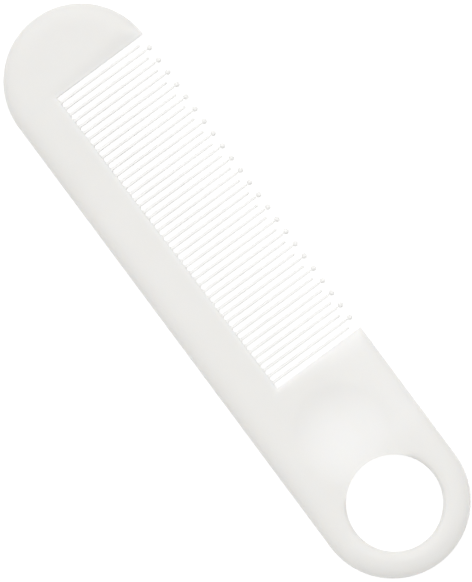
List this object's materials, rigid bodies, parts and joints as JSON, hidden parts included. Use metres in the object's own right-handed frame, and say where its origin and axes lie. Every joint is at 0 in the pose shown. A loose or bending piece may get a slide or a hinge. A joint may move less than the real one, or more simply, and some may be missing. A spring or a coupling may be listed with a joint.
{
  "type": "flea comb",
  "caption": "One-piece moulded fine-tooth flea comb with a rounded end guard, ball-tipped teeth between plain ones, a thumb dish and a finger ring.",
  "frame": {"origin": "middle of the comb's outline, on the flat back that it lies on", "axes": "+X runs along the comb towards the finger ring, +Y across it towards the tooth tips, +Z out of the front face that has the thumb dish"},
  "size_m": [0.1336, 0.0306, 0.0036],
  "materials": {
    "frame_plastic": "satin off-white moulded plastic",
    "tooth_plastic": "the same off-white plastic, paler where it is thin"
  },
  "bodies": {
    "root": {"end_guard": "frame_plastic", "spine": "frame_plastic", "handle": "frame_plastic", "finger_ring": "frame_plastic", "plain_tooth_00": "tooth_plastic", "bead_tooth_01": "tooth_plastic", "plain_tooth_02": "tooth_plastic", "bead_tooth_03": "tooth_plastic", "plain_tooth_04": "tooth_plastic", "bead_tooth_05": "tooth_plastic", "plain_tooth_06": "tooth_plastic", "bead_tooth_07": "tooth_plastic", "plain_tooth_08": "tooth_plastic", "bead_tooth_09": "tooth_plastic", "plain_tooth_10": "tooth_plastic", "bead_tooth_11": "tooth_plastic", "plain_tooth_12": "tooth_plastic", "bead_tooth_13": "tooth_plastic", "plain_tooth_14": "tooth_plastic", "bead_tooth_15": "tooth_plastic", "plain_tooth_16": "tooth_plastic", "bead_tooth_17": "tooth_plastic", "plain_tooth_18": "tooth_plastic", "bead_tooth_19": "tooth_plastic", "plain_tooth_20": "tooth_plastic", "bead_tooth_21": "tooth_plastic", "plain_tooth_22": "tooth_plastic", "bead_tooth_23": "tooth_plastic", "plain_tooth_24": "tooth_plastic", "bead_tooth_25": "tooth_plastic", "plain_tooth_26": "tooth_plastic", "bead_tooth_27": "tooth_plastic", "plain_tooth_28": "tooth_plastic", "bead_tooth_29": "tooth_plastic", "plain_tooth_30": "tooth_plastic", "bead_tooth_31": "tooth_plastic", "plain_tooth_32": "tooth_plastic", "bead_tooth_33": "tooth_plastic", "plain_tooth_34": "tooth_plastic", "bead_tooth_35": "tooth_plastic", "plain_tooth_36": "tooth_plastic", "bead_tooth_37": "tooth_plastic", "plain_tooth_38": "tooth_plastic", "bead_tooth_39": "tooth_plastic", "plain_tooth_40": "tooth_plastic", "bead_tooth_41": "tooth_plastic", "plain_tooth_42": "tooth_plastic", "bead_tooth_43": "tooth_plastic", "plain_tooth_44": "tooth_plastic", "bead_tooth_45": "tooth_plastic", "plain_tooth_46": "tooth_plastic"}
  },
  "joints": []
}
